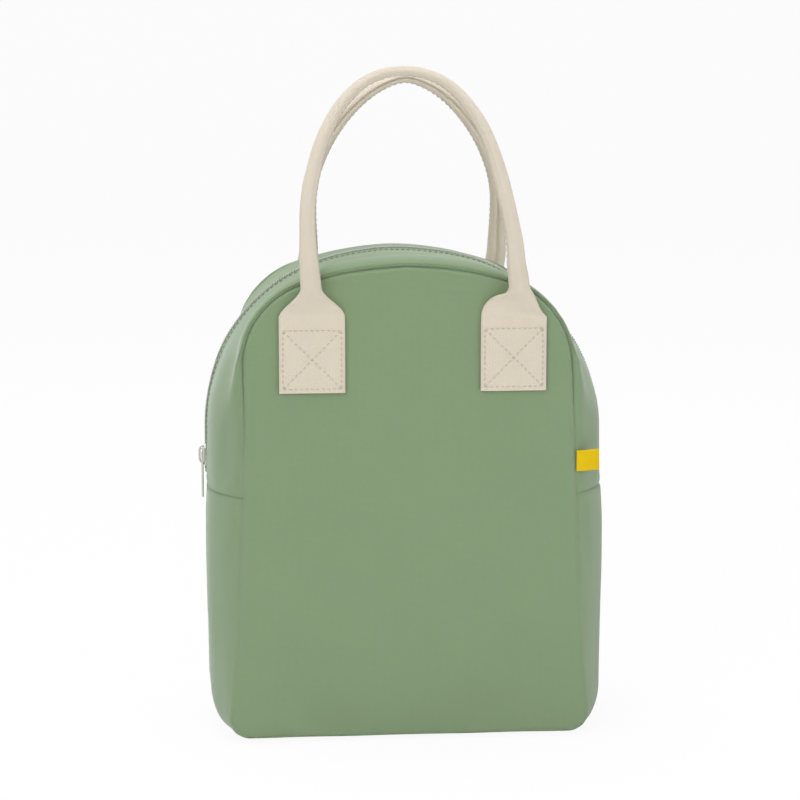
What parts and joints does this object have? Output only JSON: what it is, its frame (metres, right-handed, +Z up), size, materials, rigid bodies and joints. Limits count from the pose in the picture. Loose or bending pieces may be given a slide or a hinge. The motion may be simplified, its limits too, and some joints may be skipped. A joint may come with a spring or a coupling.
{
  "type": "insulated lunch bag",
  "caption": "Soft zipped lunch bag with flat arched panels, a bulged gusset, an arched zip and two webbing handles.",
  "frame": {"origin": "centre of the base on the floor, midway between the front and back panels", "axes": "+Z up, front panel towards -Y, zip slider towards -X"},
  "size_m": [0.2418, 0.1386, 0.3975],
  "materials": {
    "canvas": "sage green cotton canvas, matt plain weave",
    "foam": "closed-cell insulating foam, matt",
    "lining": "light grey coated lining, slight sheen",
    "binding": "woven seam binding tape, matt",
    "zip_tape": "woven zip tape, matt",
    "zip_teeth": "nylon coil teeth, satin",
    "zip_metal": "nickel plate, satin",
    "webbing": "natural cotton webbing, matt",
    "thread": "natural sewing thread",
    "label": "yellow folded woven label, bare"
  },
  "bodies": {
    "bag": {"front_panel": "canvas", "back_panel": "canvas", "lower_gusset": "canvas", "top_gusset_rear": "canvas", "front_foam_lower": "foam", "back_foam": "foam", "gusset_foam": "foam", "top_foam_rear": "foam", "front_lining": "lining", "back_lining": "lining", "gusset_lining": "lining", "top_lining_rear": "lining", "seam_binding_front": "binding", "seam_binding_rear": "binding", "inner_pocket": "lining", "zip_tape_rear": "zip_tape", "zip_tape_fixed": "zip_tape", "zip_teeth_rear": "zip_teeth", "zip_teeth_fixed": "zip_teeth", "zip_stop_left": "zip_metal", "zip_stop_right": "zip_metal", "rear_handle_ends": "webbing", "rear_handle_stitches": "thread"},
    "mouth": {"top_gusset_front": "canvas", "front_foam_upper": "foam", "top_foam_front": "foam", "top_lining_front": "lining", "zip_tape_front": "zip_tape", "zip_teeth_front": "zip_teeth", "front_handle_ends": "webbing", "front_handle_stitches": "thread", "side_label": "label"},
    "front_grip": {"front_grip": "webbing"},
    "rear_grip": {"rear_grip": "webbing"},
    "slider": {"zip_slider": "zip_metal"},
    "pull": {"zip_pull": "zip_metal"}
  },
  "joints": [
    {"name": "mouth_fold", "type": "hinge", "parent": "bag", "child": "mouth", "pos_m": [0, 0, 0.148], "axis": [1, 0, 0], "range_deg": [0, 35], "deforming": ["front_panel", "front_lining", "seam_binding_front", "top_gusset_front", "top_lining_front", "side_label"]},
    {"name": "front_grip_swing", "type": "hinge", "parent": "mouth", "child": "front_grip", "pos_m": [0, -0.0604, 0.2472], "axis": [1, 0, 0], "range_deg": [0, 150]},
    {"name": "rear_grip_swing", "type": "hinge", "parent": "bag", "child": "rear_grip", "pos_m": [0, 0.0604, 0.2472], "axis": [-1, 0, 0], "range_deg": [0, 150]},
    {"name": "zip_slide", "type": "slide", "parent": "bag", "child": "slider", "axis": [0, 0, 1], "range_m": [0, 0.011]},
    {"name": "pull_swing", "type": "hinge", "parent": "slider", "child": "pull", "pos_m": [-0.121, 0, 0.168], "axis": [0, 1, 0], "range_deg": [0, 160]}
  ]
}
